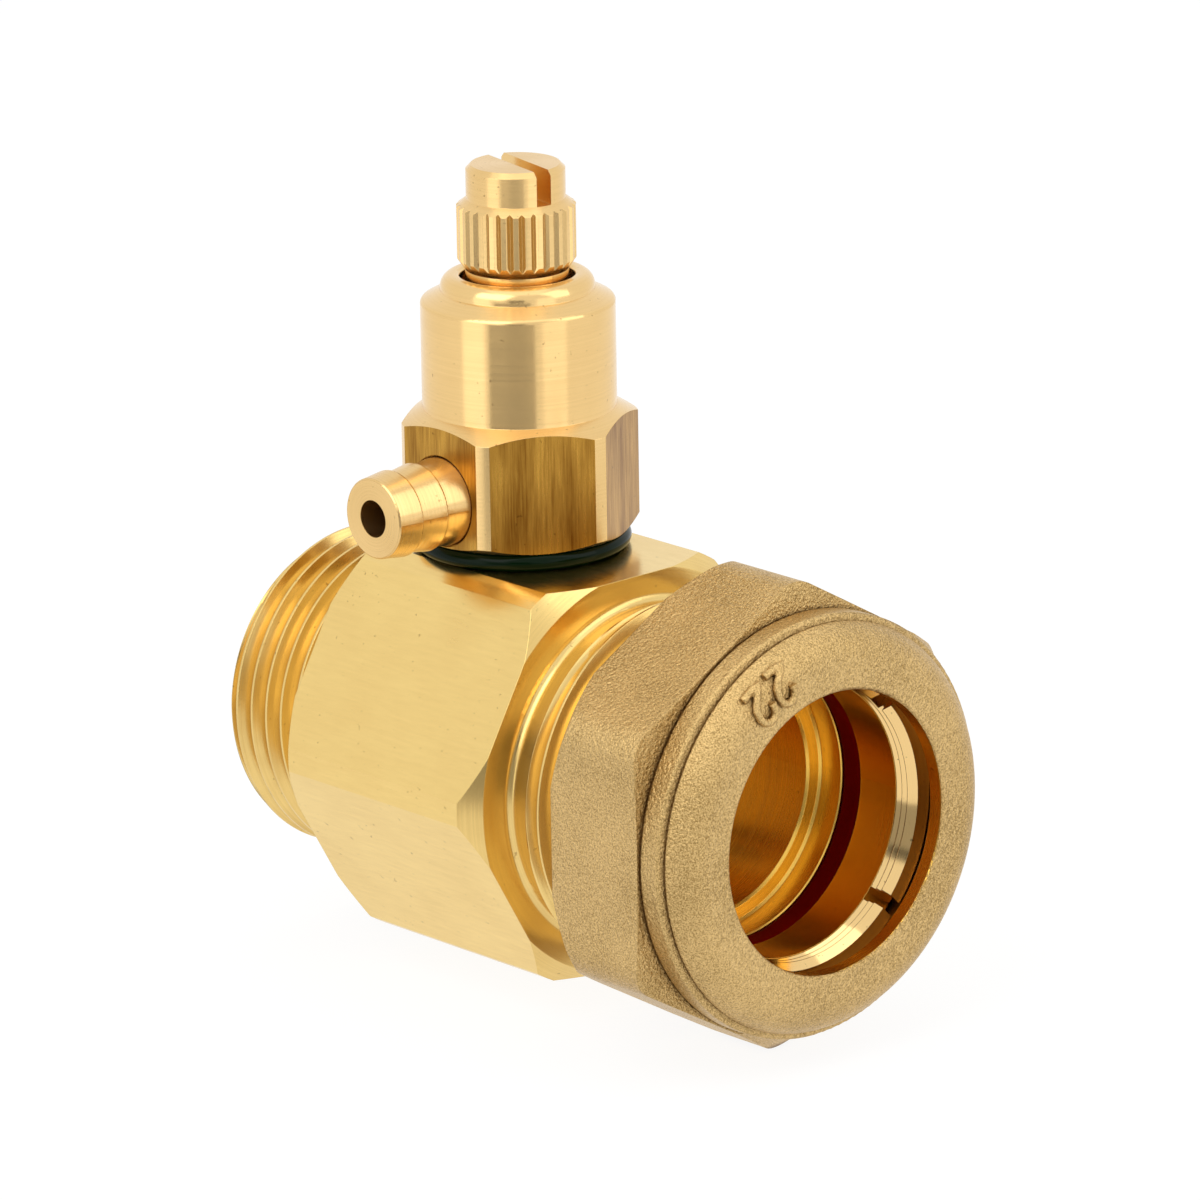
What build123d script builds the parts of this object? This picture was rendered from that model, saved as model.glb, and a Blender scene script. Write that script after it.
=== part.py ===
from build123d import *

import os
from math import radians, tan

# Frame, in millimetres: the origin lies on the pipe axis at the shoulder where the tail
# meets the block, +X runs along the pipe toward the nut and +Z runs up the vent.

# Tail: male pipe thread G 3/4, drawn at its major diameter
TAIL_R = 26.441 / 2
TAIL_LENGTH = 12.3
TAIL_CHAMFER = 1.0

# Block: hexagon bar with a flat on top, its corners turned down
BLOCK_FLATS = 32.0
BLOCK_LENGTH = 23.2
BLOCK_CORNER_R = 17.95
BLOCK_FACE_R = 16.48
VENT_X = 9.8
WATERWAY_R = 9.7

# Neck and male thread M30 x 2 for the nut, drawn at its major diameter
NECK_R = 13.7
NECK_WIDTH = 1.9
NECK_ROUND = 0.7
NUT_THREAD_R = 15.0
NUT_THREAD_LENGTH = 12.1
NUT_THREAD_CHAMFER = 1.1

# Socket for a 22 mm pipe, with a counterbore for its seal
PIPE_R = 22.0 / 2
SOCKET_DEPTH = 4.8
SOCKET_CHAMFER = 0.1
STOP_CHAMFER = 0.2
SEAL_SEAT_DEPTH = 2.4

# Compression nut: forged hexagon, a round collar and a domed front
NUT_FLATS = 34.3
NUT_CORNER_ROUND = 3.0
NUT_TURN = 30.0
NUT_BACK_GAP = 8.7
NUT_BACK_R = 17.7
NUT_BACK_ROUND = 3.0
NUT_CORNER_R = 19.7
NUT_HEX_LENGTH = 9.8
NUT_EDGE_TILT = 0.3
NUT_EDGE_ROUND = 0.4
NUT_CHAMFER_R = 18.1
NUT_CHAMFER_OFFSET = 2.6
NUT_CHAMFER_TURN = 140.0
NUT_COLLAR_R = 17.0
NUT_COLLAR_LENGTH = 2.0
NUT_COLLAR_ROUND = 0.25
NUT_CREASE = 0.25
NUT_DOME_R = 16.5
NUT_DOME_STEP = 0.2
NUT_DOME_LENGTH = 2.05
NUT_DOME_EDGE_R = 15.75
NUT_DOME_ROUND = 2.9
NUT_HOLE_ROUND = 0.25
NUT_LIP = 1.35
NUT_MOUTH_CHAMFER = 0.8
NUT_CONE_TAPER = 1.7

# Rings between the body and the nut
THRUST_OUTER_R = 13.85
THRUST_LENGTH = 3.75
THRUST_NOSE = 0.25
GRIP_STEP = 0.25
GRIP_TAPER = 0.6
GRIP_LENGTH = 1.8
GRIP_TEETH = 3
GRIP_TOOTH_DEPTH = 0.6
GRIP_SPLIT_WIDTH = 1.2
GRIP_SPLIT_ANGLE = -45.0
GRIP_NOTCH_WIDTH = 1.7
GRIP_NOTCH_DEPTH = 1.1
GRIP_NOTCH_ANGLE = 45.0
PIPE_SEAL_SECTION = 1.86
PIPE_SEAL_ROUND = 0.5

# Vent body: stub thread G 1/4, hexagon, round barrel and a rolled rim
STUB_R = 13.157 / 2
STUB_LENGTH = 5.6
STUB_CHAMFER = 0.8
STUB_NECK_R = 5.7
STUB_NECK_WIDTH = 0.9
VENT_GAP = 1.45
VENT_FLATS = 17.0
VENT_CORNER_R = 9.5
VENT_CHAMFER_ANGLE = 30.0
VENT_HEX_HEIGHT = 9.05
BARREL_R = 7.75
BARREL_HEIGHT = 9.7
BARREL_ROUND = 0.4
SHOULDER_R = 6.15
SHOULDER_RISE = 0.85
RIM_HEIGHT = 1.3
RIM_OPENING_R = 4.55
RIM_THICKNESS = 1.05
VENT_SEAL_INNER_R = 6.9
VENT_SEAL_OUTER_R = 8.75

# Passages inside the vent body
INLET_R = 2.5
SEAT_HOLE_R = 1.6
SEAT_HOLE_LENGTH = 1.8
SEAT_RIM_R = 2.1
SEAT_RIM_HEIGHT = 0.4
SEAT_HEIGHT = 2.15
CHAMBER_R = 3.6
CHAMBER_LENGTH = 9.5
SCREW_RELIEF_R = 5.4
SCREW_BORE_LENGTH = 6.1

# Hose nozzle: its height above the foot of the hexagon, and distances out from the vent's axis
NOZZLE_HEIGHT = 3.75
NOZZLE_TIP = 15.6
NOZZLE_TIP_R = 3.13
NOZZLE_TIP_CHAMFER = 0.12
NOZZLE_BORE_R = 1.5
BARB_ROUND = 0.2
BARB_EDGES = ((13.28, 3.53, 3.2), (10.73, 3.60, 3.27))
NOZZLE_COLLAR_R = 3.65
NOZZLE_RECESS = 0.45
NOZZLE_SPIGOT_R = 2.4
NOZZLE_SPIGOT_LENGTH = 3.0

# Vent screw: slotted boss, knurled collar, neck, thread M10 x 1 and stem
BOSS_R = 3.95
BOSS_HEIGHT = 2.75
BOSS_CHAMFER = 0.4
SLOT_WIDTH = 1.35
SLOT_OFFSET = 0.3
SLOT_ANGLE = -11.3
KNURL_R = 4.74
KNURL_DEPTH = 0.3
KNURL_TEETH = 30
KNURL_FLANK_ANGLE = 45.0
KNURL_LENGTH = 4.8
KNURL_GAP = 0.4
KNURL_SHOULDER = 0.6
KNURL_TAPER = 0.9
SCREW_NECK_R = 4.12
SCREW_THREAD_R = 5.0
SCREW_THREAD_LENGTH = 5.4
SCREW_THREAD_CHAMFER = 0.5
SCREW_THREAD_DROP = 0.2
STEM_R = 3.3
TIP_R = 2.2
TIP_LENGTH = 2.65
SCREW_SEAL_INNER_R = 2.45
SCREW_SEAL_SECTION = 1.1
SCREW_SEAL_HEIGHT = 1.7
SEAL_GROOVE_WIDTH = 1.5

# Seat disc: rubber face with a stud that stands in the screw's tip
DISC_R = 2.6
DISC_THICKNESS = 1.3
STUD_R = 1.2
STUD_LENGTH = 1.3

# Clearances
SOCKET_CLEARANCE = 0.1
PIPE_CLEARANCE = 0.15
NUT_HOLE_CLEARANCE = 0.35
SEAL_CLEARANCE = 0.02
NOSE_CLEARANCE = 0.3
RING_CLEARANCE = 0.35
THREAD_CLEARANCE = 0.06
PRESS_CLEARANCE = 0.01
FACE_CLEARANCE = 0.05
STUD_CLEARANCE = 0.05

# How far shapes run into each other before they are joined or cut
OVERLAP = 1.0

# Sizes that follow from the pipe and the rings
SOCKET_R = PIPE_R + SOCKET_CLEARANCE
THRUST_INNER_R = SOCKET_R
PIPE_SEAL_INNER_R = SOCKET_R + SEAL_CLEARANCE
SEAL_SEAT_R = PIPE_SEAL_INNER_R + PIPE_SEAL_SECTION + SEAL_CLEARANCE
THRUST_NOSE_R = SEAL_SEAT_R - NOSE_CLEARANCE
GRIP_INNER_R = PIPE_R + PIPE_CLEARANCE
GRIP_GROOVE_R = GRIP_INNER_R + GRIP_TOOTH_DEPTH
GRIP_OUTER_R = THRUST_OUTER_R - GRIP_STEP
GRIP_NOSE_R = GRIP_OUTER_R - GRIP_TAPER
NUT_HOLE_R = PIPE_R + NUT_HOLE_CLEARANCE
NUT_RING_R = THRUST_OUTER_R + RING_CLEARANCE
NUT_CONE_R = NUT_RING_R - NUT_CONE_TAPER

# Positions that follow from the sizes above
BLOCK_END = BLOCK_LENGTH
BLOCK_TOP = BLOCK_FLATS / 2
THREAD_START = BLOCK_END + NECK_WIDTH
BODY_END = THREAD_START + NUT_THREAD_LENGTH
PIPE_STOP = BODY_END - SOCKET_DEPTH
SEAL_SEAT = BODY_END - SEAL_SEAT_DEPTH
NUT_BACK = BLOCK_END + NUT_BACK_GAP
NUT_SHOULDER = NUT_BACK + NUT_HEX_LENGTH
NUT_COLLAR_END = NUT_SHOULDER + NUT_COLLAR_LENGTH
NUT_DOME_START = NUT_COLLAR_END + NUT_DOME_STEP
NUT_FRONT = NUT_DOME_START + NUT_DOME_LENGTH
THRUST_START = BODY_END + FACE_CLEARANCE
THRUST_END = THRUST_START + THRUST_LENGTH
GRIP_END = THRUST_END + GRIP_LENGTH
STUB_BOTTOM = BLOCK_TOP - STUB_LENGTH
VENT_BOTTOM = BLOCK_TOP + VENT_GAP
VENT_SLOPE = tan(radians(VENT_CHAMFER_ANGLE))
VENT_CORNER_TOP = VENT_BOTTOM + VENT_HEX_HEIGHT
BARREL_TOP = VENT_CORNER_TOP + BARREL_HEIGHT
SHOULDER_TOP = BARREL_TOP + SHOULDER_RISE
RIM_TOP = SHOULDER_TOP + RIM_HEIGHT
SEAT_Z = VENT_BOTTOM + SEAT_HEIGHT
CHAMBER_TOP = SEAT_Z + CHAMBER_LENGTH
SCREW_BORE_TOP = CHAMBER_TOP + SCREW_BORE_LENGTH
NOZZLE_Z = VENT_BOTTOM + NOZZLE_HEIGHT
SCREW_THREAD_TOP = SCREW_BORE_TOP - SCREW_THREAD_DROP
SCREW_THREAD_BOTTOM = SCREW_THREAD_TOP - SCREW_THREAD_LENGTH
DISC_TOP = SEAT_Z + DISC_THICKNESS
TIP_BOTTOM = DISC_TOP + FACE_CLEARANCE
STEM_BOTTOM = TIP_BOTTOM + TIP_LENGTH
SCREW_SEAL_Z = STEM_BOTTOM + SCREW_SEAL_HEIGHT
NECK_TOP = RIM_TOP + KNURL_GAP
KNURL_BOTTOM = NECK_TOP + KNURL_TAPER
KNURL_TOP = KNURL_BOTTOM + KNURL_LENGTH
SCREW_TOP = KNURL_TOP + BOSS_HEIGHT


def outline(points, rounds):
    """Closed outline through the points, with the corners named in rounds softened."""
    face = make_face(Polyline(*points, close=True))
    for point, radius in rounds:
        corner = face.vertices().sort_by_distance(Vector(*point))[0]
        face = fillet(corner, radius)
    return face


def turned_on_x(points, rounds=()):
    """Solid turned about the pipe axis from (along, radius) points."""
    return revolve(outline(points, rounds), Axis.X)


def turned_on_z(points, rounds=()):
    """Solid turned about the Z axis from (radius, height) points."""
    return revolve(Plane.XZ * outline(points, rounds), Axis.Z)


def hexagon(flats, turn=0.0, corner_round=0.0):
    """Flat hexagon of the given size across flats."""
    shape = RegularPolygon(flats / 2, 6, major_radius=False, rotation=turn)
    if corner_round > 0:
        shape = fillet(shape.vertices(), corner_round)
    return shape


def bar_on_x(shape, start, length):
    """The flat shape drawn out along X from start."""
    return extrude(Plane.YZ.offset(start) * shape, length)


def ring_seal(centre_r, section, height):
    """Round-section sealing ring lying flat at the given height."""
    spot = Pos(centre_r, height) * Circle(section / 2)
    return revolve(Plane.XZ * spot, Axis.Z)


def at_vent(shape):
    """The shape moved from the Z axis to the vent's axis."""
    return Pos(VENT_X, 0, 0) * shape


def block():
    """Hexagon block with its corners turned down and both ends chamfered."""
    chamfer_width = BLOCK_CORNER_R - BLOCK_FACE_R
    envelope = turned_on_x([
        (0, 0),
        (0, BLOCK_FACE_R),
        (chamfer_width, BLOCK_CORNER_R),
        (BLOCK_END - chamfer_width, BLOCK_CORNER_R),
        (BLOCK_END, BLOCK_FACE_R),
        (BLOCK_END, 0),
    ])
    return bar_on_x(hexagon(BLOCK_FLATS), 0, BLOCK_LENGTH) & envelope


def body():
    """Tee body: tail, block, neck and nut thread in one turned piece."""
    tail = turned_on_x([
        (-TAIL_LENGTH, 0),
        (-TAIL_LENGTH, TAIL_R - TAIL_CHAMFER),
        (TAIL_CHAMFER - TAIL_LENGTH, TAIL_R),
        (OVERLAP, TAIL_R),
        (OVERLAP, 0),
    ])
    neck_corner = (BLOCK_END, NECK_R)
    neck = turned_on_x([
        (BLOCK_END - OVERLAP, 0),
        (BLOCK_END - OVERLAP, NUT_THREAD_R),
        (BLOCK_END, NUT_THREAD_R),
        neck_corner,
        (THREAD_START, NECK_R),
        (THREAD_START + NUT_THREAD_R - NECK_R, NUT_THREAD_R),
        (BODY_END - NUT_THREAD_CHAMFER, NUT_THREAD_R),
        (BODY_END, NUT_THREAD_R - NUT_THREAD_CHAMFER),
        (BODY_END, 0),
    ], [(neck_corner, NECK_ROUND)])
    waterway = turned_on_x([
        (-TAIL_LENGTH, 0),
        (-TAIL_LENGTH, WATERWAY_R),
        (PIPE_STOP - STOP_CHAMFER, WATERWAY_R),
        (PIPE_STOP, WATERWAY_R + STOP_CHAMFER),
        (PIPE_STOP, SOCKET_R - STOP_CHAMFER),
        (PIPE_STOP + STOP_CHAMFER, SOCKET_R),
        (SEAL_SEAT - SOCKET_CHAMFER, SOCKET_R),
        (SEAL_SEAT, SOCKET_R + SOCKET_CHAMFER),
        (SEAL_SEAT, SEAL_SEAT_R),
        (BODY_END, SEAL_SEAT_R),
        (BODY_END, 0),
    ])
    port = at_vent(Pos(0, 0, BLOCK_TOP / 2) * Cylinder(STUB_R + PRESS_CLEARANCE, BLOCK_TOP))
    return tail + block() + neck - waterway - port


def compression_nut():
    """Forged nut: rounded hexagon, collar and dome, with a crease on each side of the collar.

    The chamfer on the front of the hexagon is off centre, so it leaves two corners whole and
    takes the most off those across from them.
    """
    back_edge = (NUT_BACK + NUT_CORNER_R - NUT_BACK_R, NUT_CORNER_R)
    front_edge = (NUT_SHOULDER - NUT_EDGE_TILT, NUT_CORNER_R)
    envelope = turned_on_x([
        (NUT_BACK, 0),
        (NUT_BACK, NUT_BACK_R),
        back_edge,
        front_edge,
        (NUT_SHOULDER, NUT_COLLAR_R),
        (NUT_SHOULDER, 0),
    ], [(back_edge, NUT_BACK_ROUND), (front_edge, NUT_EDGE_ROUND)])
    chamfer = turned_on_x([
        (NUT_BACK, 0),
        (NUT_BACK, NUT_CHAMFER_R + NUT_HEX_LENGTH),
        (NUT_SHOULDER, NUT_CHAMFER_R),
        (NUT_SHOULDER, 0),
    ])
    chamfer = Rot(NUT_CHAMFER_TURN, 0, 0) * Pos(0, NUT_CHAMFER_OFFSET, 0) * chamfer
    hexagon_bar = bar_on_x(hexagon(NUT_FLATS, NUT_TURN, NUT_CORNER_ROUND), NUT_BACK, NUT_HEX_LENGTH)
    collar_start = NUT_SHOULDER - NUT_CHAMFER_OFFSET - OVERLAP
    collar_edge = (NUT_COLLAR_END, NUT_COLLAR_R)
    collar = turned_on_x([
        (collar_start, 0),
        (collar_start, NUT_COLLAR_R),
        collar_edge,
        (NUT_DOME_START, NUT_DOME_R),
        (NUT_DOME_START, 0),
    ], [(collar_edge, NUT_COLLAR_ROUND)])
    hexagon_crease = turned_on_x([
        (NUT_SHOULDER, NUT_COLLAR_R + NUT_CREASE),
        (NUT_SHOULDER, NUT_COLLAR_R - NUT_CREASE),
        (NUT_SHOULDER + 2 * NUT_CREASE, NUT_COLLAR_R + NUT_CREASE),
    ])
    dome_crease = turned_on_x([
        (NUT_COLLAR_END, NUT_COLLAR_R + NUT_CREASE),
        (NUT_DOME_START, NUT_DOME_R - NUT_CREASE),
        (NUT_DOME_START + 2 * NUT_CREASE, NUT_DOME_R + NUT_CREASE),
    ])
    outer = (hexagon_bar & envelope & chamfer) + collar + nut_dome() - hexagon_crease - dome_crease
    return outer - nut_hollow()


def nut_dome():
    """Domed front of the nut, from its collar to its face."""
    brow = (NUT_FRONT, NUT_DOME_EDGE_R)
    return turned_on_x([
        (NUT_DOME_START, 0),
        (NUT_DOME_START, NUT_DOME_R),
        brow,
        (NUT_FRONT, 0),
    ], [(brow, NUT_DOME_ROUND)])


def nut_hollow():
    """Room inside the nut: thread, ring chamber, cone and the pipe hole."""
    bore_r = NUT_THREAD_R + THREAD_CLEARANCE
    lip_start = NUT_FRONT - NUT_LIP
    hole_edge = (NUT_FRONT, NUT_HOLE_R)
    flare = NUT_HOLE_ROUND * 2
    return turned_on_x([
        (NUT_BACK, 0),
        (NUT_BACK, bore_r + NUT_MOUTH_CHAMFER),
        (NUT_BACK + NUT_MOUTH_CHAMFER, bore_r),
        (THRUST_START + NUT_MOUTH_CHAMFER, bore_r),
        (THRUST_START + NUT_MOUTH_CHAMFER, NUT_RING_R),
        (THRUST_END, NUT_RING_R),
        (lip_start, NUT_CONE_R),
        (lip_start, NUT_HOLE_R),
        hole_edge,
        (NUT_FRONT, NUT_HOLE_R + flare),
        (NUT_FRONT + flare, NUT_HOLE_R + flare),
        (NUT_FRONT + flare, 0),
    ], [(hole_edge, NUT_HOLE_ROUND)])


def thrust_ring():
    """Plain brass ring whose nose holds the pipe seal in its seat."""
    return turned_on_x([
        (THRUST_START - THRUST_NOSE, THRUST_INNER_R),
        (THRUST_START - THRUST_NOSE, THRUST_NOSE_R),
        (THRUST_START, THRUST_NOSE_R),
        (THRUST_START, THRUST_OUTER_R),
        (THRUST_END, THRUST_OUTER_R),
        (THRUST_END, THRUST_INNER_R),
    ])


def grip_ring():
    """Split ring with gripping teeth inside, open toward the nut's hole, and a cone outside."""
    tooth = GRIP_LENGTH / GRIP_TEETH
    teeth = []
    for number in range(GRIP_TEETH):
        start = THRUST_END + number * tooth
        teeth.append((start, GRIP_INNER_R))
        teeth.append((start + tooth, GRIP_GROOVE_R))
    ring = turned_on_x(teeth + [(GRIP_END, GRIP_NOSE_R), (THRUST_END, GRIP_OUTER_R)])
    split = grip_cut(GRIP_LENGTH + OVERLAP, GRIP_SPLIT_WIDTH, GRIP_SPLIT_ANGLE)
    notch = grip_cut(GRIP_NOTCH_DEPTH, GRIP_NOTCH_WIDTH, GRIP_NOTCH_ANGLE)
    return ring - split - notch


def grip_cut(depth, width, angle):
    """Slot into the front of the grip ring, outward from the axis at the given angle."""
    slot = Box(2 * depth, 2 * GRIP_OUTER_R, width)
    return Pos(GRIP_END, 0, 0) * Rot(angle, 0, 0) * Pos(0, GRIP_OUTER_R, 0) * slot


def pipe_seal():
    """Sealing ring that the thrust ring squeezes into the counterbore of the socket."""
    centre_r = PIPE_SEAL_INNER_R + PIPE_SEAL_SECTION / 2
    nose = THRUST_START - THRUST_NOSE
    width = nose - SEAL_SEAT - 2 * SEAL_CLEARANCE
    section = RectangleRounded(width, PIPE_SEAL_SECTION, PIPE_SEAL_ROUND)
    return revolve(Pos((SEAL_SEAT + nose) / 2, centre_r) * section, Axis.X)


def vent_seal():
    """Sealing ring squeezed flat between the vent's hexagon and the block."""
    middle_r = (VENT_SEAL_INNER_R + VENT_SEAL_OUTER_R) / 2
    width = VENT_SEAL_OUTER_R - VENT_SEAL_INNER_R
    section = Pos(middle_r, BLOCK_TOP + VENT_GAP / 2) * SlotOverall(width, VENT_GAP)
    return at_vent(revolve(Plane.XZ * section, Axis.Z))


def vent_outside():
    """Outside of the vent body: threaded stub, hexagon, barrel and rolled rim."""
    flat_r = VENT_FLATS / 2
    corner_rise = (VENT_CORNER_R - flat_r) * VENT_SLOPE
    barrel_foot = VENT_CORNER_TOP + (VENT_CORNER_R - BARREL_R) * VENT_SLOPE
    envelope = turned_on_z([
        (0, VENT_BOTTOM),
        (flat_r, VENT_BOTTOM),
        (VENT_CORNER_R, VENT_BOTTOM + corner_rise),
        (VENT_CORNER_R, VENT_CORNER_TOP),
        (BARREL_R, barrel_foot),
        (0, barrel_foot),
    ])
    bar = Pos(0, 0, VENT_BOTTOM) * extrude(hexagon(VENT_FLATS), barrel_foot - VENT_BOTTOM)
    neck_foot = BLOCK_TOP - STUB_NECK_WIDTH
    stub = turned_on_z([
        (0, STUB_BOTTOM),
        (STUB_R - STUB_CHAMFER, STUB_BOTTOM),
        (STUB_R, STUB_BOTTOM + STUB_CHAMFER),
        (STUB_R, neck_foot),
        (STUB_NECK_R, neck_foot + STUB_R - STUB_NECK_R),
        (STUB_NECK_R, VENT_BOTTOM),
        (0, VENT_BOTTOM),
    ])
    barrel_edge = (BARREL_R, BARREL_TOP)
    rim_edge = (SHOULDER_R, RIM_TOP)
    rim_lip = (RIM_OPENING_R, RIM_TOP)
    barrel = turned_on_z([
        (0, VENT_CORNER_TOP),
        (BARREL_R, VENT_CORNER_TOP),
        barrel_edge,
        (SHOULDER_R, SHOULDER_TOP),
        rim_edge,
        rim_lip,
        (RIM_OPENING_R, RIM_TOP - RIM_THICKNESS),
        (0, RIM_TOP - RIM_THICKNESS),
    ], [(barrel_edge, BARREL_ROUND), (rim_edge, RIM_THICKNESS), (rim_lip, RIM_THICKNESS / 3)])
    return (bar & envelope) + stub + barrel


def vent_hollow():
    """Passage up through the vent body: inlet, seat, chamber, thread and relief."""
    thread_r = SCREW_THREAD_R + THREAD_CLEARANCE
    floor = SEAT_Z - SEAT_RIM_HEIGHT
    seat_hole_foot = SEAT_Z - SEAT_HOLE_LENGTH
    return turned_on_z([
        (0, STUB_BOTTOM),
        (INLET_R, STUB_BOTTOM),
        (INLET_R, seat_hole_foot),
        (SEAT_HOLE_R, seat_hole_foot),
        (SEAT_HOLE_R, SEAT_Z),
        (SEAT_RIM_R, SEAT_Z),
        (SEAT_RIM_R, floor),
        (CHAMBER_R, floor),
        (CHAMBER_R, CHAMBER_TOP),
        (thread_r, CHAMBER_TOP),
        (thread_r, SCREW_BORE_TOP),
        (SCREW_RELIEF_R, SCREW_BORE_TOP),
        (SCREW_RELIEF_R, RIM_TOP - RIM_THICKNESS),
        (0, RIM_TOP - RIM_THICKNESS),
    ])


def nozzle_place(shape):
    """The shape turned from +Z to point out of the vent's side at the nozzle's height."""
    return Pos(VENT_X, 0, NOZZLE_Z) * Rot(90, 0, 0) * shape


def vent_body():
    """Vent body with its passage and the hole for the hose nozzle."""
    face = VENT_FLATS / 2
    recess_floor = face - NOZZLE_RECESS
    nozzle_hole = turned_on_z([
        (0, 0),
        (NOZZLE_BORE_R, 0),
        (NOZZLE_BORE_R, recess_floor - NOZZLE_SPIGOT_LENGTH),
        (NOZZLE_SPIGOT_R + PRESS_CLEARANCE, recess_floor - NOZZLE_SPIGOT_LENGTH),
        (NOZZLE_SPIGOT_R + PRESS_CLEARANCE, recess_floor),
        (NOZZLE_COLLAR_R + FACE_CLEARANCE, recess_floor),
        (NOZZLE_COLLAR_R + FACE_CLEARANCE, face + OVERLAP),
        (0, face + OVERLAP),
    ])
    return at_vent(vent_outside() - vent_hollow()) - nozzle_place(nozzle_hole)


def hose_nozzle():
    """Barbed hose nozzle pressed into the side of the vent body."""
    collar_foot = VENT_FLATS / 2 - NOZZLE_RECESS
    spigot_end = collar_foot - NOZZLE_SPIGOT_LENGTH
    points = [
        (NOZZLE_BORE_R, spigot_end),
        (NOZZLE_SPIGOT_R, spigot_end),
        (NOZZLE_SPIGOT_R, collar_foot),
        (NOZZLE_COLLAR_R, collar_foot),
    ]
    ridges = []
    for distance, ridge_r, root_r in reversed(BARB_EDGES):
        points.append((root_r, distance))
        points.append((ridge_r, distance))
        ridges.append(((ridge_r, distance), BARB_ROUND))
    points.append((NOZZLE_TIP_R + NOZZLE_TIP_CHAMFER, NOZZLE_TIP - NOZZLE_TIP_CHAMFER))
    points.append((NOZZLE_TIP_R, NOZZLE_TIP))
    points.append((NOZZLE_BORE_R, NOZZLE_TIP))
    return nozzle_place(turned_on_z(points, ridges))


def knurl_bar():
    """Bar with straight grooves round it for the knurl, a little larger than the knurl itself."""
    root_r = KNURL_R - KNURL_DEPTH
    edge_r = KNURL_R + KNURL_DEPTH
    half_width = (edge_r - root_r) * tan(radians(KNURL_FLANK_ANGLE))
    groove = [Vector(edge_r, -half_width), Vector(root_r, 0), Vector(edge_r, half_width)]
    points = []
    for tooth in range(KNURL_TEETH):
        points += [corner.rotate(Axis.Z, tooth * 360 / KNURL_TEETH) for corner in groove]
    star = make_face(Polyline(*points, close=True))
    return Pos(0, 0, NECK_TOP) * extrude(star, KNURL_TOP - NECK_TOP)


def screw_head():
    """Knurled collar and slotted boss of the vent screw."""
    collar = turned_on_z([
        (0, NECK_TOP),
        (SCREW_NECK_R, NECK_TOP),
        (KNURL_R, KNURL_BOTTOM),
        (KNURL_R, KNURL_TOP - KNURL_SHOULDER),
        (BOSS_R, KNURL_TOP),
        (0, KNURL_TOP),
    ])
    boss = turned_on_z([
        (0, KNURL_TOP),
        (BOSS_R, KNURL_TOP),
        (BOSS_R, SCREW_TOP - BOSS_CHAMFER),
        (BOSS_R - BOSS_CHAMFER, SCREW_TOP),
        (0, SCREW_TOP),
    ])
    slot = Box(4 * BOSS_R, SLOT_WIDTH, BOSS_HEIGHT)
    slot_place = Pos(0, 0, (SCREW_TOP + KNURL_TOP) / 2) * Rot(0, 0, SLOT_ANGLE)
    return (collar & knurl_bar()) + (boss - slot_place * Pos(0, SLOT_OFFSET, 0) * slot)


def vent_screw():
    """Vent screw with its head, thread, seal groove and the socket in its tip."""
    groove_half = SEAL_GROOVE_WIDTH / 2
    socket_r = STUD_R + STUD_CLEARANCE
    socket_top = DISC_TOP + STUD_LENGTH + 2 * FACE_CLEARANCE
    shank = turned_on_z([
        (socket_r, TIP_BOTTOM),
        (TIP_R, TIP_BOTTOM),
        (TIP_R, STEM_BOTTOM),
        (STEM_R, STEM_BOTTOM),
        (STEM_R, SCREW_SEAL_Z - groove_half),
        (SCREW_SEAL_INNER_R, SCREW_SEAL_Z - groove_half),
        (SCREW_SEAL_INNER_R, SCREW_SEAL_Z + groove_half),
        (STEM_R, SCREW_SEAL_Z + groove_half),
        (STEM_R, SCREW_THREAD_BOTTOM),
        (SCREW_THREAD_R - SCREW_THREAD_CHAMFER, SCREW_THREAD_BOTTOM),
        (SCREW_THREAD_R, SCREW_THREAD_BOTTOM + SCREW_THREAD_CHAMFER),
        (SCREW_THREAD_R, SCREW_THREAD_TOP - SCREW_THREAD_CHAMFER),
        (SCREW_THREAD_R - SCREW_THREAD_CHAMFER, SCREW_THREAD_TOP),
        (SCREW_NECK_R, SCREW_THREAD_TOP),
        (SCREW_NECK_R, NECK_TOP),
        (0, NECK_TOP),
        (0, socket_top),
        (socket_r, socket_top),
    ])
    return at_vent(shank + screw_head())


def screw_seal():
    """Sealing ring in the groove of the screw's stem."""
    section = SCREW_SEAL_SECTION - 2 * PRESS_CLEARANCE
    centre_r = SCREW_SEAL_INNER_R + SCREW_SEAL_SECTION / 2
    return at_vent(ring_seal(centre_r, section, SCREW_SEAL_Z))


def seat_disc():
    """Rubber disc that closes the seat, with its stud."""
    return at_vent(turned_on_z([
        (0, SEAT_Z),
        (DISC_R, SEAT_Z),
        (DISC_R, DISC_TOP),
        (STUD_R, DISC_TOP),
        (STUD_R, DISC_TOP + STUD_LENGTH),
        (0, DISC_TOP + STUD_LENGTH),
    ]))


NODES = {
    "body": body,
    "compression_nut": compression_nut,
    "thrust_ring": thrust_ring,
    "grip_ring": grip_ring,
    "pipe_seal": pipe_seal,
    "vent_body": vent_body,
    "vent_seal": vent_seal,
    "hose_nozzle": hose_nozzle,
    "vent_screw": vent_screw,
    "screw_seal": screw_seal,
    "seat_disc": seat_disc,
}

os.makedirs("parts", exist_ok=True)
for name, make in NODES.items():
    export_step(make(), f"parts/{name}.step")
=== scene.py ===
from math import ceil, cos, floor, pi, radians, sin

import bmesh
import bpy
from mathutils import Matrix, Vector
from mathutils.bvhtree import BVHTree


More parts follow.
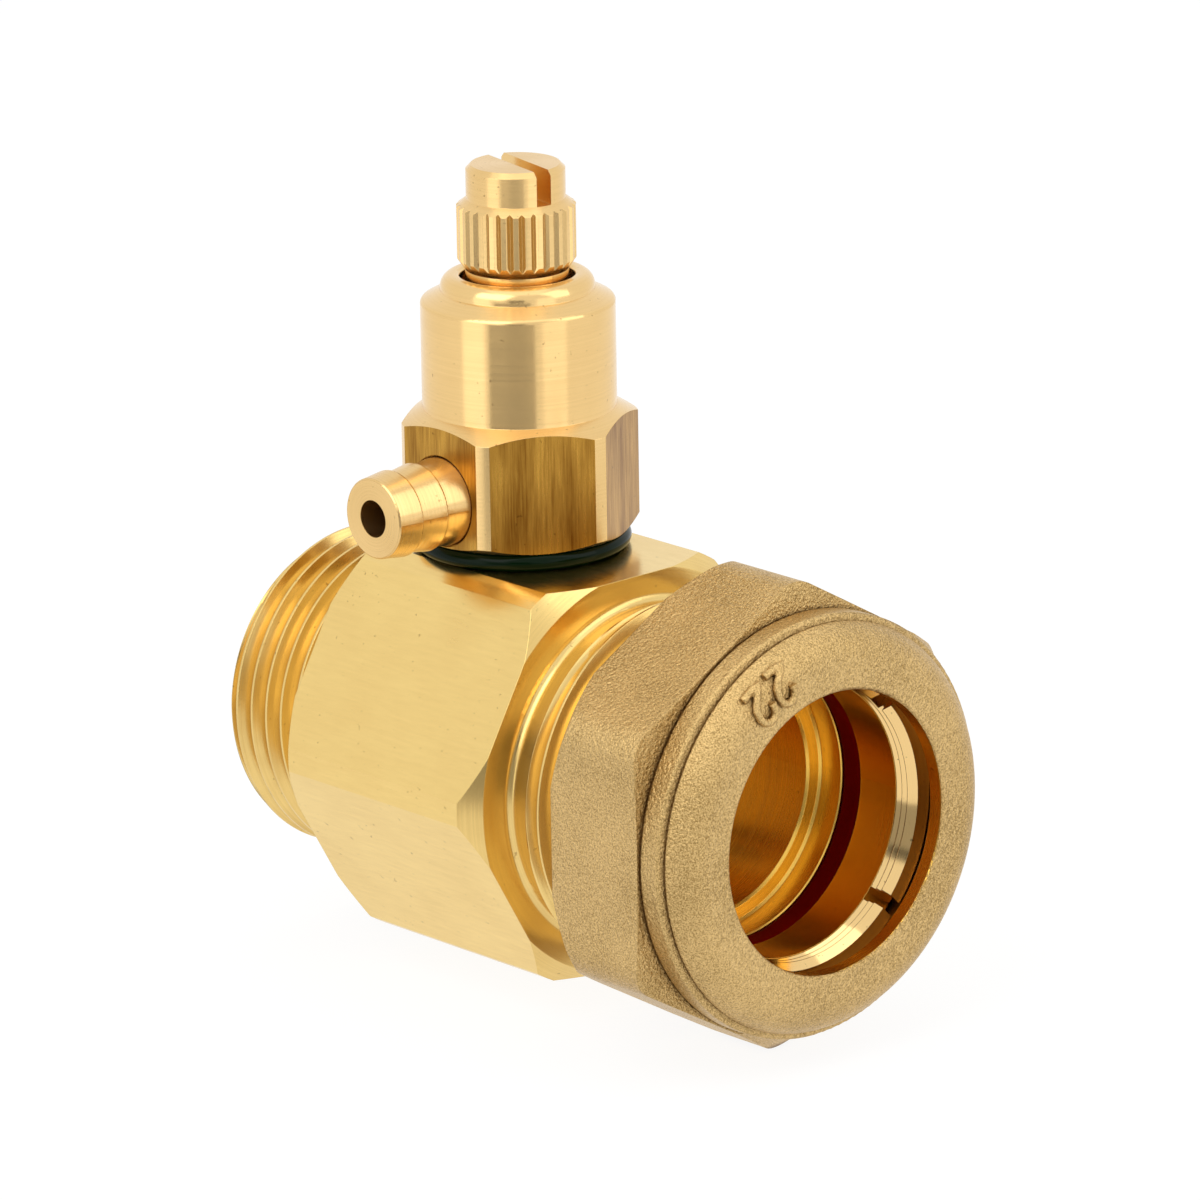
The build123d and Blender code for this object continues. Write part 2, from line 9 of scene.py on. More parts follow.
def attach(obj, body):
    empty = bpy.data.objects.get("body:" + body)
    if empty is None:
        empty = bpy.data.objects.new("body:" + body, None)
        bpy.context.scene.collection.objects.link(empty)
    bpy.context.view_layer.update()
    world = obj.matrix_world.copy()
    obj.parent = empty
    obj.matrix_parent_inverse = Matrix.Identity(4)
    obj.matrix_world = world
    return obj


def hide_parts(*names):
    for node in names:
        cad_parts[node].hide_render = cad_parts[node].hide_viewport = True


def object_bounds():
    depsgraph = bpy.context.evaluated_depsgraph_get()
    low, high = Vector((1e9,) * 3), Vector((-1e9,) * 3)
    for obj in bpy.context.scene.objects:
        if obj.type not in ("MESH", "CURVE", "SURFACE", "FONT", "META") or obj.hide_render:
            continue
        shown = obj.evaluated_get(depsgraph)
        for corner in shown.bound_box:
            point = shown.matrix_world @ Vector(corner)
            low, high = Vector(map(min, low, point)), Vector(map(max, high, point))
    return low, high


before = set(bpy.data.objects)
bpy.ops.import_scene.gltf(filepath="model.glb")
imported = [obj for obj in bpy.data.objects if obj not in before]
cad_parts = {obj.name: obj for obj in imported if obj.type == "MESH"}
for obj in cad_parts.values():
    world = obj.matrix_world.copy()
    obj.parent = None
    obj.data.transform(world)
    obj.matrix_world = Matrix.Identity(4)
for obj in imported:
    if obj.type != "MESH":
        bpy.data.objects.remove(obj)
cad_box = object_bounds()

MM = 0.001

# Pipe axis and vent axis, as (direction, a point on it in millimetres)
PIPE_AXIS = ((1, 0, 0), (0, 0, 0))
VENT_AXIS = ((0, 0, 1), (9.8, 0, 0))
NOZZLE_AXIS = ((0, 1, 0), (9.8, 0, 21.2))

# Threads of the body, in millimetres: crest_at is where a crest crosses the +Y side, profile is the plain
# skin as (along, radius) points, and run_out is how far before the skin's end the groove has run out
TAIL_THREAD = {"crest_r": 13.2205, "pitch": 1.814, "depth": 1.16, "crest": 0.2, "root": 0.25, "crest_at": 1.3,
               "profile": ((-12.3, 12.2205), (-11.3, 13.2205), (0.0, 13.2205)), "run_out": 0.6}
NUT_THREAD = {"crest_r": 15.0, "pitch": 2.0, "depth": 1.23, "crest": 0.2, "root": 0.25, "crest_at": 0.9,
              "profile": ((25.1, 13.7), (26.4, 15.0), (36.1, 15.0), (37.2, 13.9)), "run_out": 0.0}
THREAD_FADE = 0.3
FLANK_STEPS = 4
STEPS_PER_TURN = 180
SHARP_ANGLE = 30
WELD_REACH = 0.0005

# Faces of the plain body that a threaded skin stands for: how far they lie under its profile at
# the most, in millimetres, and how squarely a face that stays looks along the pipe
SKIN_REACH = 0.4
END_FACE = 0.9

# Ridge inside the nut that stands in the groove of the body's thread
NUT_RIDGE = (33.2, 37.3)
RIDGE_CLEARANCE = 0.09
RIDGE_SINK = 0.3

# Pipe size raised on the face of the nut: polar places of the strokes, in degrees and millimetres
NUMERAL_STARTS = (70.3, 60.5)
NUMERAL_SWEEP = 7.1
NUMERAL_BASE_R = 15.6
NUMERAL_HEIGHT = 2.65
NUMERAL_STROKE_R = 0.34
NUMERAL_LIFT = 0.16
NUMERAL_VOXEL = 0.05
NUMERAL_SMOOTHING = 4
TWO_STROKE = (
    (0.04, 0.62), (0.05, 0.80), (0.16, 0.97), (0.38, 1.06), (0.66, 1.04), (0.90, 0.90), (0.98, 0.68),
    (0.90, 0.45), (0.66, 0.29), (0.32, 0.14), (0.00, 0.00), (0.34, 0.00), (0.68, 0.00), (1.00, 0.00),
)

# Places that tell the surfaces of a piece apart, in millimetres
BODY_BORE_R = 13.1
BODY_TAIL_END = -12.2
BODY_BAR_R = 15.6
VENT_FLATS_R = (8.0, 9.49)
VENT_FOOT = 17
NUT_INSIDE_R = 15.5
NUT_LIP_START = 44.55
NUT_HOLE_R = 11.4

# Normals that tell them apart: nearly level with an axis, nearly square to it
ALONG_SKIN = 0.02
FACING_IN = -0.9


def new_object(name, mesh):
    """Object with the mesh, linked into the scene."""
    made = bpy.data.objects.new(name, mesh)
    bpy.context.scene.collection.objects.link(made)
    return made


def settle(piece):
    """Makes what the piece's modifiers give its own mesh."""
    bpy.context.view_layer.update()
    shaped = piece.evaluated_get(bpy.context.evaluated_depsgraph_get())
    mesh = bpy.data.meshes.new_from_object(shaped)
    piece.modifiers.clear()
    piece.data = mesh


def held(value, low, high):
    """The value, or the end of the range that it lies beyond."""
    return min(max(value, low), high)


def plain_radius(profile, along):
    """Radius of a turned profile at a place along it."""
    for (start, start_r), (end, end_r) in zip(profile, profile[1:]):
        if along <= end:
            return start_r + (end_r - start_r) * (along - start) / (end - start)
    return profile[-1][1]


def thread_radius(thread, along, turn):
    """Radius of a threaded skin at a place along it, a share of a turn round from +Y."""
    profile = thread["profile"]
    from_groove = abs(((along - thread["crest_at"]) / thread["pitch"] - turn) % 1.0 - 0.5) * thread["pitch"]
    half_top = (thread["pitch"] - thread["crest"]) / 2
    half_root = thread["root"] / 2
    share = held((half_top - from_groove) / (half_top - half_root), 0.0, 1.0)
    to_end = min(along - profile[0][0], profile[-1][0] - thread["run_out"] - along)
    fade = held(to_end / THREAD_FADE, 0.0, 1.0)
    return min(plain_radius(profile, along), thread["crest_r"] - thread["depth"] * share * fade)


def threaded_skin(thread):
    """Points and faces of a threaded skin, in rows that follow the thread round."""
    pitch, crest_at = thread["pitch"], thread["crest_at"]
    start, end = thread["profile"][0][0], thread["profile"][-1][0]
    crest_edge = thread["crest"] / 2 / pitch
    flank = 0.5 - crest_edge - thread["root"] / 2 / pitch
    steps = [crest_edge + flank * step / FLANK_STEPS for step in range(FLANK_STEPS + 1)]
    in_turn = [0.0] + steps + [0.5] + [1.0 - step for step in reversed(steps)]
    turns = range(floor((start - crest_at) / pitch) - 1, ceil((end - crest_at) / pitch) + 1)
    skin = bmesh.new()
    rows = []
    for row in [turn + share for turn in turns for share in in_turn]:
        made = []
        for step in range(STEPS_PER_TURN + 1):
            turn = step / STEPS_PER_TURN
            along = held(crest_at + pitch * (row + turn), start, end)
            radius = thread_radius(thread, along, turn)
            place = Vector((along, radius * cos(2 * pi * turn), radius * sin(2 * pi * turn)))
            made.append(skin.verts.new(place * MM))
        rows.append(made)
    for before, after in zip(rows, rows[1:]):
        for step in range(STEPS_PER_TURN):
            skin.faces.new((before[step], before[step + 1], after[step + 1], after[step]))
    bmesh.ops.remove_doubles(skin, verts=skin.verts, dist=WELD_REACH * MM)
    skin.verts.index_update()
    points = [vertex.co.copy() for vertex in skin.verts]
    faces = [[vertex.index for vertex in face.verts] for face in skin.faces]
    skin.free()
    return points, faces


def under_thread(face):
    """Whether a face of the CAD body belongs to the plain skin of one of its threads."""
    if abs(face.normal.x) > END_FACE:
        return False
    out = Vector((0, face.center.y, face.center.z)).length / MM
    along = face.center.x / MM
    for thread in (TAIL_THREAD, NUT_THREAD):
        profile = thread["profile"]
        if profile[0][0] < along < profile[-1][0] and out > plain_radius(profile, along) - SKIN_REACH:
            return True
    return False


def threaded_body():
    """The CAD body's skin, with threaded skins where its threads are drawn plain."""
    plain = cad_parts["body"].data
    points = [vertex.co.copy() for vertex in plain.vertices]
    faces = []
    normals = []
    for face in plain.polygons:
        if not under_thread(face):
            faces.append(tuple(face.vertices))
            normals += [plain.corner_normals[corner].vector.copy() for corner in face.loop_indices]
    for thread in (TAIL_THREAD, NUT_THREAD):
        skin_points, skin_faces = threaded_skin(thread)
        for face in skin_faces:
            faces.append(tuple(len(points) + corner for corner in face))
            normals += [Vector()] * len(face)
        points += skin_points
    mesh = bpy.data.meshes.new("threaded_body")
    mesh.from_pydata(points, [], faces)
    mesh.shade_smooth()
    mesh.set_sharp_from_angle(angle=radians(SHARP_ANGLE))
    mesh.normals_split_custom_set(normals)
    piece = new_object("threaded_body", mesh)
    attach(piece, "fitting")
    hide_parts("body")
    return piece


def helix_bar(name, section, thread, stretch):
    """Closed bar whose section, in (along, radius) points, follows the thread along a stretch."""
    pitch = thread["pitch"]
    first, last = [(place - thread["crest_at"]) / pitch - 0.5 for place in stretch]
    steps = int((last - first) * STEPS_PER_TURN)
    bar = bmesh.new()
    rings = []
    for step in range(steps + 1):
        turn = first + (last - first) * step / steps
        angle = 2 * pi * turn
        middle = thread["crest_at"] + pitch * (turn + 0.5)
        ring = []
        for along, radius in section:
            place = Vector((middle + along, radius * cos(angle), radius * sin(angle)))
            ring.append(bar.verts.new(place * MM))
        rings.append(ring)
    corners = len(section)
    for before, after in zip(rings, rings[1:]):
        for corner in range(corners):
            beside = (corner + 1) % corners
            bar.faces.new((before[corner], before[beside], after[beside], after[corner]))
    bar.faces.new(rings[0])
    bar.faces.new(reversed(rings[-1]))
    bmesh.ops.recalc_face_normals(bar, faces=bar.faces)
    mesh = bpy.data.meshes.new(name)
    bar.to_mesh(mesh)
    bar.free()
    return new_object(name, mesh)


def nut_thread():
    """Ridge inside the nut that stands in the body's groove with a clearance."""
    half_base = (NUT_THREAD["pitch"] - NUT_THREAD["crest"]) / 2 - RIDGE_CLEARANCE
    half_tip = NUT_THREAD["root"] / 2
    crest_r = NUT_THREAD["crest_r"]
    tip_r = crest_r - NUT_THREAD["depth"] + 2 * RIDGE_CLEARANCE
    base_r = crest_r + RIDGE_SINK
    section = [(-half_base, base_r), (-half_base, crest_r), (-half_tip, tip_r),
               (half_tip, tip_r), (half_base, crest_r), (half_base, base_r)]
    piece = helix_bar("nut_thread", section, NUT_THREAD, NUT_RIDGE)
    piece.data.shade_smooth()
    piece.data.set_sharp_from_angle(angle=radians(SHARP_ANGLE))
    return piece


def numeral_line(surface, start):
    """Round stroke of one numeral, laid on the nut's face."""
    line = bpy.data.curves.new("stroke", "CURVE")
    line.dimensions = "3D"
    line.bevel_depth = NUMERAL_STROKE_R * MM
    line.bevel_resolution = 4
    line.use_fill_caps = True
    spline = line.splines.new("POLY")
    spline.points.add(len(TWO_STROKE) - 1)
    for point, (across, up) in zip(spline.points, TWO_STROKE):
        angle = radians(start - across * NUMERAL_SWEEP)
        radius = (NUMERAL_BASE_R - up * NUMERAL_HEIGHT) * MM
        above = Vector((1, -radius * cos(angle), radius * sin(angle)))
        face, normal = surface.ray_cast(above, Vector((-1, 0, 0)))[:2]
        point.co = (face + normal * NUMERAL_LIFT * MM).to_4d()
    return line


def numerals():
    """Pipe size raised on the nut's face, as forged strokes."""
    skin = bmesh.new()
    skin.from_mesh(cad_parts["compression_nut"].data)
    surface = BVHTree.FromBMesh(skin)
    skin.clear()
    for start in NUMERAL_STARTS:
        stroke = new_object("stroke", numeral_line(surface, start))
        depsgraph = bpy.context.evaluated_depsgraph_get()
        skin.from_mesh(bpy.data.meshes.new_from_object(stroke.evaluated_get(depsgraph)))
        bpy.data.objects.remove(stroke)
    mesh = bpy.data.meshes.new("pipe_size")
    skin.to_mesh(mesh)
    skin.free()
    piece = new_object("pipe_size", mesh)
    forge = piece.modifiers.new("forge", "REMESH")
    forge.mode = "VOXEL"
    forge.voxel_size = NUMERAL_VOXEL * MM
    soften = piece.modifiers.new("soften", "SMOOTH")
    soften.factor = 0.5
    soften.iterations = NUMERAL_SMOOTHING
    settle(piece)
    piece.data.shade_smooth()
    return piece


def add(tree, kind, inputs=None, **settings):
    """Shader node with its settings, and its inputs set or linked by name."""
    made = tree.nodes.new(kind)
    for key, value in settings.items():
        setattr(made, key, value)
    for key, value in (inputs or {}).items():
        if isinstance(value, bpy.types.NodeSocket):
            tree.links.new(value, made.inputs[key])
        else:
            made.inputs[key].default_value = value
    return made


def math(tree, operation, first, second=0.0):
    """Result of a sum on two numbers or sockets."""
    return add(tree, "ShaderNodeMath", {0: first, 1: second}, operation=operation).outputs[0]


def vector(tree, operation, first, second=(0, 0, 0), result="Vector"):
    """Result of a sum on two vectors or sockets."""
    made = add(tree, "ShaderNodeVectorMath", {0: first, 1: second}, operation=operation)
    return made.outputs[result]


def mapped(tree, value, low, high, to_low, to_high):
    """The value's range low to high spread over to_low to to_high, and held at the ends."""
    made = add(tree, "ShaderNodeMapRange", {
        "Value": value, "From Min": low, "From Max": high, "To Min": to_low, "To Max": to_high})
    return made.outputs["Result"]


def blended(tree, share, first, second):
    """Colour between two colours."""
    made = add(tree, "ShaderNodeMix", {"Factor": share}, data_type="RGBA")
    for socket, value in ((made.inputs[6], first), (made.inputs[7], second)):
        if isinstance(value, bpy.types.NodeSocket):
            tree.links.new(value, socket)
        else:
            socket.default_value = (*value, 1)
    return made.outputs[2]


def place_in_mm(tree):
    """Place on the piece, in millimetres."""
    place = add(tree, "ShaderNodeTexCoord").outputs["Object"]
    return add(tree, "ShaderNodeVectorMath", {0: place, "Scale": 1 / MM}, operation="SCALE").outputs[0]


def noise(tree, place, scale, detail=3.0, roughness=0.5):
    """Soft noise of the given number of cells to the millimetre."""
    made = add(tree, "ShaderNodeTexNoise", {
        "Vector": place, "Scale": scale, "Detail": detail, "Roughness": roughness})
    return made.outputs["Fac"]


def turned_place(tree, place, axis):
    """Place as (along the axis, distance from it), which is the same all round a turned ring."""
    direction, centre = axis
    from_centre = vector(tree, "SUBTRACT", place, centre)
    along = vector(tree, "DOT_PRODUCT", from_centre, direction, "Value")
    on_axis = add(tree, "ShaderNodeVectorMath", {0: direction, "Scale": along}, operation="SCALE").outputs[0]
    out = vector(tree, "SUBTRACT", from_centre, on_axis)
    radius = vector(tree, "LENGTH", out, (0, 0, 0), "Value")
    return add(tree, "ShaderNodeCombineXYZ", {"X": along, "Y": radius}).outputs[0]


def stretched_place(tree, place, stretch):
    """Place squeezed along each axis by the given shares, for streaks."""
    return vector(tree, "MULTIPLY", place, stretch)


def new_material(name):
    """Material with an empty tree, and its surface shader."""
    made = bpy.data.materials.new(name)
    made.use_nodes = True
    tree = made.node_tree
    tree.nodes.clear()
    shader = tree.nodes.new("ShaderNodeBsdfPrincipled")
    out = tree.nodes.new("ShaderNodeOutputMaterial")
    tree.links.new(shader.outputs[0], out.inputs["Surface"])
    return made, tree, shader


# Colours of clean brass, two grades of it and a deeper orange that is painted shade in bores and on rings
# inside, and of the brown and the dark brown that it takes on, which also serve as painted shade inside the
# nut, on edges and in grooves
BRIGHT = (0.88, 0.64, 0.24)
PALE = (0.87, 0.60, 0.26)
SHADED_DEEP = (0.92, 0.57, 0.11)
BROWN = (0.45, 0.24, 0.06)
DARK = (0.16, 0.08, 0.02)


def hollow_shade_mask(tree, reach):
    """Mask of painted shade: one deep in grooves and corners, where ambient occlusion finds them, and nothing
    on open skin.
    """
    made = add(tree, "ShaderNodeAmbientOcclusion", {"Distance": reach * MM}, samples=6)
    return mapped(tree, made.outputs["AO"], 0.35, 0.85, 1.0, 0.0)


def brass(name, colour, tarnish, roughness, marks_at, mark_scale, mark_depth, stretch_along=None,
          cloud_at=None, cloud_scale=0.12, tarnish_share=0.3, mark_share=0.25, edge=0.08, edge_shade_share=0.0,
          hollow_shade_share=0.0):
    """Machined brass. marks_at and cloud_at give the coordinates of the tool marks and of the
    tarnish, and stretch_along is the axis of a turned piece, whose reflections are drawn out along
    its profile. Its last two settings are how deep the painted shade on its edges and in its grooves is."""
    made, tree, shader = new_material(name)
    shader.inputs["Metallic"].default_value = 1.0
    place = place_in_mm(tree)
    marks = noise(tree, marks_at(tree, place), mark_scale, 4.0, 0.65)
    cloud = noise(tree, cloud_at(tree, place) if cloud_at else place, cloud_scale, 3.0, 0.55)
    speck = noise(tree, place, 2.2, 2.0, 0.5)
    dirt = mapped(tree, speck, 0.70, 0.76, 0.0, 0.5)
    share = math(tree, "ADD", mapped(tree, cloud, 0.35, 0.75, 0.0, tarnish_share),
                 mapped(tree, marks, 0.3, 0.8, 0.0, mark_share))
    shade = blended(tree, share, colour, tarnish)
    shade = blended(tree, dirt, shade, tuple(part * 0.5 for part in tarnish))
    rounded = add(tree, "ShaderNodeBevel", {"Radius": edge * MM}, samples=4).outputs[0]
    flat = add(tree, "ShaderNodeNewGeometry").outputs["Normal"]
    agree = vector(tree, "DOT_PRODUCT", rounded, flat, "Value")
    # Edges, where the rounded normal parts from the flat one, are darkened toward the tarnish colour: painted
    # shade.
    shade = blended(tree, mapped(tree, agree, 0.85, 0.99, edge_shade_share, 0.0), shade, tarnish)
    # Grooves and corners are darkened toward dark brown where ambient occlusion finds them: painted shade.
    if hollow_shade_share:
        shade = blended(tree, math(tree, "MULTIPLY", hollow_shade_mask(tree, 1.0), hollow_shade_share), shade, DARK)
    tree.links.new(shade, shader.inputs["Base Color"])
    rough = math(tree, "ADD", mapped(tree, marks, 0.25, 0.75, roughness * 0.75, roughness * 1.25),
                 mapped(tree, cloud, 0.3, 0.7, -0.03, 0.05))
    tree.links.new(rough, shader.inputs["Roughness"])
    bump = add(tree, "ShaderNodeBump", {
        "Strength": 1.0, "Distance": mark_depth * MM, "Height": marks, "Normal": rounded})
    tree.links.new(bump.outputs[0], shader.inputs["Normal"])
    if stretch_along:
        shader.inputs["Anisotropic"].default_value = 0.75
        tree.links.new(profile_direction(tree, stretch_along), shader.inputs["Tangent"])
    return made


def profile_direction(tree, axis):
    """Direction along the profile of a piece turned about the axis."""
    direction, centre = axis
    geometry = add(tree, "ShaderNodeNewGeometry")
    centre_m = tuple(part * MM for part in centre)
    out = vector(tree, "SUBTRACT", geometry.outputs["Position"], centre_m)
    round_it = vector(tree, "CROSS_PRODUCT", direction, out)
    return vector(tree, "NORMALIZE", vector(tree, "CROSS_PRODUCT", geometry.outputs["Normal"], round_it))


def turned_about(axis):
    """Tool marks that run round the axis."""
    return lambda tree, place: turned_place(tree, place, axis)


def drawn_along(stretch):
    """Marks of a drawn bar, long where the stretch is small."""
    return lambda tree, place: stretched_place(tree, place, stretch)


def forged_brass(name, colour, tarnish):
    """Forged and blasted brass: matt, with a pebbled grain that sparkles."""
    made, tree, shader = new_material(name)
    shader.inputs["Metallic"].default_value = 1.0
    place = place_in_mm(tree)
    grain = noise(tree, place, 8.0, 3.0, 0.6)
    pebble = noise(tree, place, 3.5, 2.0, 0.5)
    cloud = noise(tree, place, 0.12, 3.0, 0.5)
    share = math(tree, "ADD", mapped(tree, cloud, 0.35, 0.7, 0.0, 0.35),
                 mapped(tree, grain, 0.35, 0.65, 0.8, -0.3))
    shade = blended(tree, share, colour, tarnish)
    # Grooves and corners are darkened toward dark brown where ambient occlusion finds them: painted shade.
    shade = blended(tree, math(tree, "MULTIPLY", hollow_shade_mask(tree, 0.6), 0.8), shade, DARK)
    tree.links.new(shade, shader.inputs["Base Color"])
    tree.links.new(mapped(tree, grain, 0.3, 0.7, 0.46, 0.28), shader.inputs["Roughness"])
    height = math(tree, "ADD", math(tree, "MULTIPLY", grain, 0.5), pebble)
    rounded = add(tree, "ShaderNodeBevel", {"Radius": 0.15 * MM}, samples=6).outputs[0]
    bump = add(tree, "ShaderNodeBump", {
        "Strength": 1.0, "Distance": 0.15 * MM, "Height": height, "Normal": rounded})
    tree.links.new(bump.outputs[0], shader.inputs["Normal"])
    return made


def rubber(name, colour, roughness, shine):
    """Moulded rubber with a faint grain."""
    made, tree, shader = new_material(name)
    shader.inputs["Specular IOR Level"].default_value = shine
    place = place_in_mm(tree)
    grain = noise(tree, place, 3.0, 3.0, 0.5)
    cloud = noise(tree, place, 0.3, 2.0, 0.5)
    darker = tuple(part * 0.55 for part in colour)
    tree.links.new(blended(tree, cloud, colour, darker), shader.inputs["Base Color"])
    rough = mapped(tree, grain, 0.3, 0.7, roughness * 0.8, roughness * 1.3)
    tree.links.new(rough, shader.inputs["Roughness"])
    bump = add(tree, "ShaderNodeBump", {"Strength": 0.3, "Distance": 0.01 * MM, "Height": grain})
    tree.links.new(bump.outputs[0], shader.inputs["Normal"])
    return made


def cover(piece, *materials):
    """Gives the piece these materials, the first one all over."""
    piece.data.materials.clear()
    for material in materials:
        piece.data.materials.append(material)
    for face in piece.data.polygons:
        face.material_index = 0


def dress_fitting():
    """Finish of the pieces that stand still."""
    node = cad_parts
    # The body's turned skin gets painted shade in its grooves and corners.
    turned = brass("body_turned_brass", BRIGHT, BROWN, 0.2, turned_about(PIPE_AXIS), 5.0, 0.003,
                   hollow_shade_share=0.5)
    flats = brass("body_bar_brass", BRIGHT, BROWN, 0.2, drawn_along((0.12, 1, 1)), 2.5, 0.001,
                  tarnish_share=0.12, mark_share=0.12)
    # Bores are painted a deeper orange than the outside: painted shade.
    inside = brass("body_bored_brass", SHADED_DEEP, BROWN, 0.25, turned_about(PIPE_AXIS), 5.0, 0.003)
    body = threaded_body()
    cover(body, turned, flats, inside)
    for face in body.data.polygons:
        out = Vector((0, face.center.y, face.center.z))
        bored = out.length < BODY_BORE_R * MM and face.normal.dot(out) < 0.001 * MM
        if bored and face.center.x > BODY_TAIL_END * MM:
            face.material_index = 2
        elif abs(face.normal.x) < ALONG_SKIN and out.length > BODY_BAR_R * MM:
            face.material_index = 1

    vent_turned = brass("vent_turned_brass", PALE, BROWN, 0.2, turned_about(VENT_AXIS), 6.0, 0.002,
                        stretch_along=VENT_AXIS, tarnish_share=0.12, mark_share=0.15)
    vent_drawn = brass("vent_drawn_brass", (0.62, 0.34, 0.06), (0.17, 0.06, 0.004), 0.3,
                       drawn_along((1, 1, 0.04)), 6.0, 0.004, cloud_at=drawn_along((1, 1, 0.15)),
                       cloud_scale=0.6, tarnish_share=0.6, mark_share=0.6)
    cover(node["vent_body"], vent_turned, vent_drawn)
    for face in node["vent_body"].data.polygons:
        radial = Vector((face.center.x - VENT_AXIS[1][0] * MM, face.center.y, 0)).length
        on_flats = VENT_FLATS_R[0] * MM < radial < VENT_FLATS_R[1] * MM
        drawn = on_flats and abs(face.normal.z) < ALONG_SKIN and face.center.z > VENT_FOOT * MM
        face.material_index = int(drawn)

    # The nozzle's edges get painted shade, which marks its barbs.
    cover(node["hose_nozzle"], brass("nozzle_brass", PALE, BROWN, 0.22, turned_about(NOZZLE_AXIS), 7.0, 0.003,
                                     stretch_along=NOZZLE_AXIS, tarnish_share=0.15, edge=0.09, edge_shade_share=0.8))
    cover(node["pipe_seal"], rubber("red_rubber", (0.24, 0.002, 0.001), 0.45, 0.02))
    cover(node["vent_seal"], rubber("green_rubber", (0.002, 0.014, 0.003), 0.12, 0.1))


def dress_nut():
    """Finish of the nut with its raised pipe size and its thread, and of the rings inside it, with painted
    shade inside the nut.
    """
    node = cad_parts
    forged = forged_brass("forged_brass", (0.73, 0.50, 0.21), (0.32, 0.20, 0.065))
    # The hole wall of the nut and its thread are painted the deeper orange: painted shade.
    turned = brass("nut_turned_brass", SHADED_DEEP, BROWN, 0.24, turned_about(PIPE_AXIS), 5.0, 0.003)
    # Inside the nut the brass is painted brown, tarnishing to dark brown: painted shade.
    shaded = brass("nut_inner_painted_shade", BROWN, DARK, 0.4, turned_about(PIPE_AXIS), 5.0, 0.003)
    cover(node["compression_nut"], forged, turned, shaded)
    for face in node["compression_nut"].data.polygons:
        out = Vector((0, face.center.y, face.center.z))
        if out.length < NUT_INSIDE_R * MM and face.center.x < NUT_LIP_START * MM:
            face.material_index = 2
        elif out.length < NUT_HOLE_R * MM and face.normal.dot(out.normalized()) < FACING_IN:
            face.material_index = 1
    for piece, finish in ((numerals(), forged), (nut_thread(), turned)):
        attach(piece, "nut")
        cover(piece, finish)
    # The thrust ring inside the nut is painted the deeper orange: painted shade.
    cover(node["thrust_ring"], brass("ring_brass", SHADED_DEEP, BROWN, 0.22, turned_about(PIPE_AXIS), 6.0, 0.003))
    # The grip ring's edges get painted shade, which marks its teeth.
    cover(node["grip_ring"], brass("grip_brass", PALE, DARK, 0.1, turned_about(PIPE_AXIS), 6.0, 0.001,
                                   tarnish_share=0.05, mark_share=0.05, edge=0.06, edge_shade_share=1.0))


def dress_screw():
    """Finish of the vent screw, its seal and the disc at its tip."""
    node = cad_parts
    cover(node["vent_screw"], brass("screw_brass", PALE, BROWN, 0.2, turned_about(VENT_AXIS), 6.0, 0.002,
                                    stretch_along=VENT_AXIS, tarnish_share=0.12, mark_share=0.15, edge=0.05))
    black = rubber("black_rubber", (0.02, 0.02, 0.02), 0.4, 0.4)
    cover(node["screw_seal"], black)
    cover(node["seat_disc"], black)


# Heights of the side cards and of the front card, in metres
CARD_HEIGHT = 0.10
FRONT_HEIGHT = 0.04

# Camera at the photograph's place, in millimetres and degrees
CAMERA_PLACE = (519.12, -451.06, 213.83)
CAMERA_AZIMUTH = 47.956
CAMERA_ELEVATION = 16.590
CAMERA_ROLL = -0.934
CAMERA_LENS = 266.45


def direction(azimuth, elevation):
    """Unit vector toward a place round the object. Azimuth 0 is toward -Y and 90 toward +X."""
    a, e = radians(azimuth), radians(elevation)
    return Vector((sin(a) * cos(e), -cos(a) * cos(e), sin(e)))


def add_camera():
    """Camera with the photograph's view."""
    lens = bpy.data.cameras.new("camera")
    lens.lens = CAMERA_LENS
    lens.sensor_width = 36.0
    lens.clip_start = 0.01
    lens.clip_end = 50.0
    camera = new_object("camera", lens)
    back = direction(CAMERA_AZIMUTH, CAMERA_ELEVATION)
    right = direction(CAMERA_AZIMUTH + 90, 0)
    up = back.cross(right)
    turn = Matrix((right, up, back)).transposed() @ Matrix.Rotation(radians(CAMERA_ROLL), 3, "Z")
    camera.matrix_world = Matrix.Translation(Vector(CAMERA_PLACE) * MM) @ turn.to_4x4()
    bpy.context.scene.camera = camera


def seen_white(tree):
    """One for the rays that see the white background: straight, mirrored or through glass."""
    path = add(tree, "ShaderNodeLightPath")
    seen = math(tree, "ADD", path.outputs["Is Camera Ray"], path.outputs["Is Glossy Ray"])
    seen = math(tree, "ADD", seen, path.outputs["Is Transmission Ray"])
    return math(tree, "MINIMUM", seen, 1.0)


def add_floor(height):
    """Pale floor that keeps a soft shadow."""
    plane = bmesh.new()
    bmesh.ops.create_grid(plane, x_segments=1, y_segments=1, size=6.0)
    mesh = bpy.data.meshes.new("floor")
    plane.to_mesh(mesh)
    plane.free()
    ground = new_object("floor", mesh)
    ground.location.z = height
    made = bpy.data.materials.new("floor")
    made.use_nodes = True
    tree = made.node_tree
    tree.nodes.clear()
    paper = add(tree, "ShaderNodeBsdfDiffuse", {"Color": (0.85, 0.85, 0.85, 1)})
    glow = add(tree, "ShaderNodeEmission", {"Color": (1, 1, 1, 1), "Strength": 1.12})
    share = math(tree, "MULTIPLY", seen_white(tree), 0.8)
    mixed = add(tree, "ShaderNodeMixShader", {0: share, 1: paper.outputs[0], 2: glow.outputs[0]})
    add(tree, "ShaderNodeOutputMaterial", {"Surface": mixed.outputs[0]})
    ground.data.materials.append(made)


